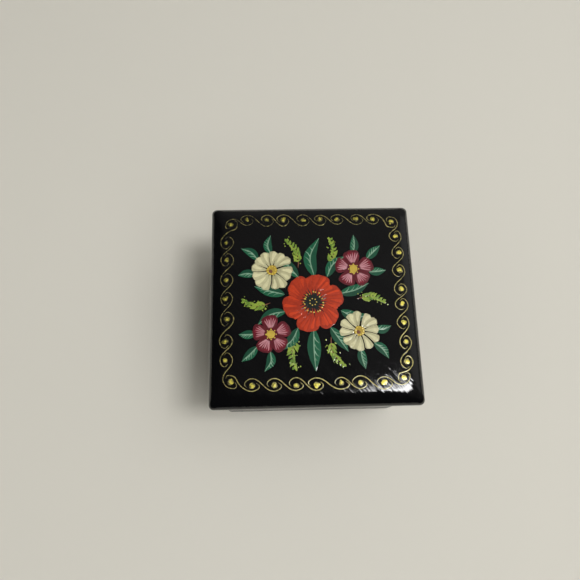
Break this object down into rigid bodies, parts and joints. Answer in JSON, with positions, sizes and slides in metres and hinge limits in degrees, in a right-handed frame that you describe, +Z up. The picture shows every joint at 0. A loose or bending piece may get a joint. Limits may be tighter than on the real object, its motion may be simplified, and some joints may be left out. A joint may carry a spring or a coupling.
{
  "type": "lacquer box",
  "caption": "Small square lacquered papier-mache box with an overhanging pillowed lid on a back hinge, for keeping trinkets.",
  "frame": {"origin": "middle of the underside, on the surface the box rests on", "axes": "+Z up through the lid, +X to the right, -Y towards the front, with the hinge at +Y"},
  "size_m": [0.05, 0.05, 0.0341],
  "materials": {
    "black_lacquer": "gloss",
    "red_lacquer": "gloss",
    "brass": "satin"
  },
  "bodies": {
    "box": {"base_plate": "black_lacquer", "wall_frame": "black_lacquer", "hinge_leaf_body": "brass", "hinge_pin": "brass", "hinge_nails_body": "brass"},
    "lid": {"lid_board": "black_lacquer", "lid_plug": "red_lacquer", "hinge_leaf_lid": "brass", "hinge_nails_lid": "brass"}
  },
  "joints": [
    {"name": "lid_hinge", "type": "hinge", "parent": "box", "child": "lid", "pos_m": [0, 0.02375, 0.03], "axis": [-1, 0, 0], "range_deg": [0, 100]}
  ]
}
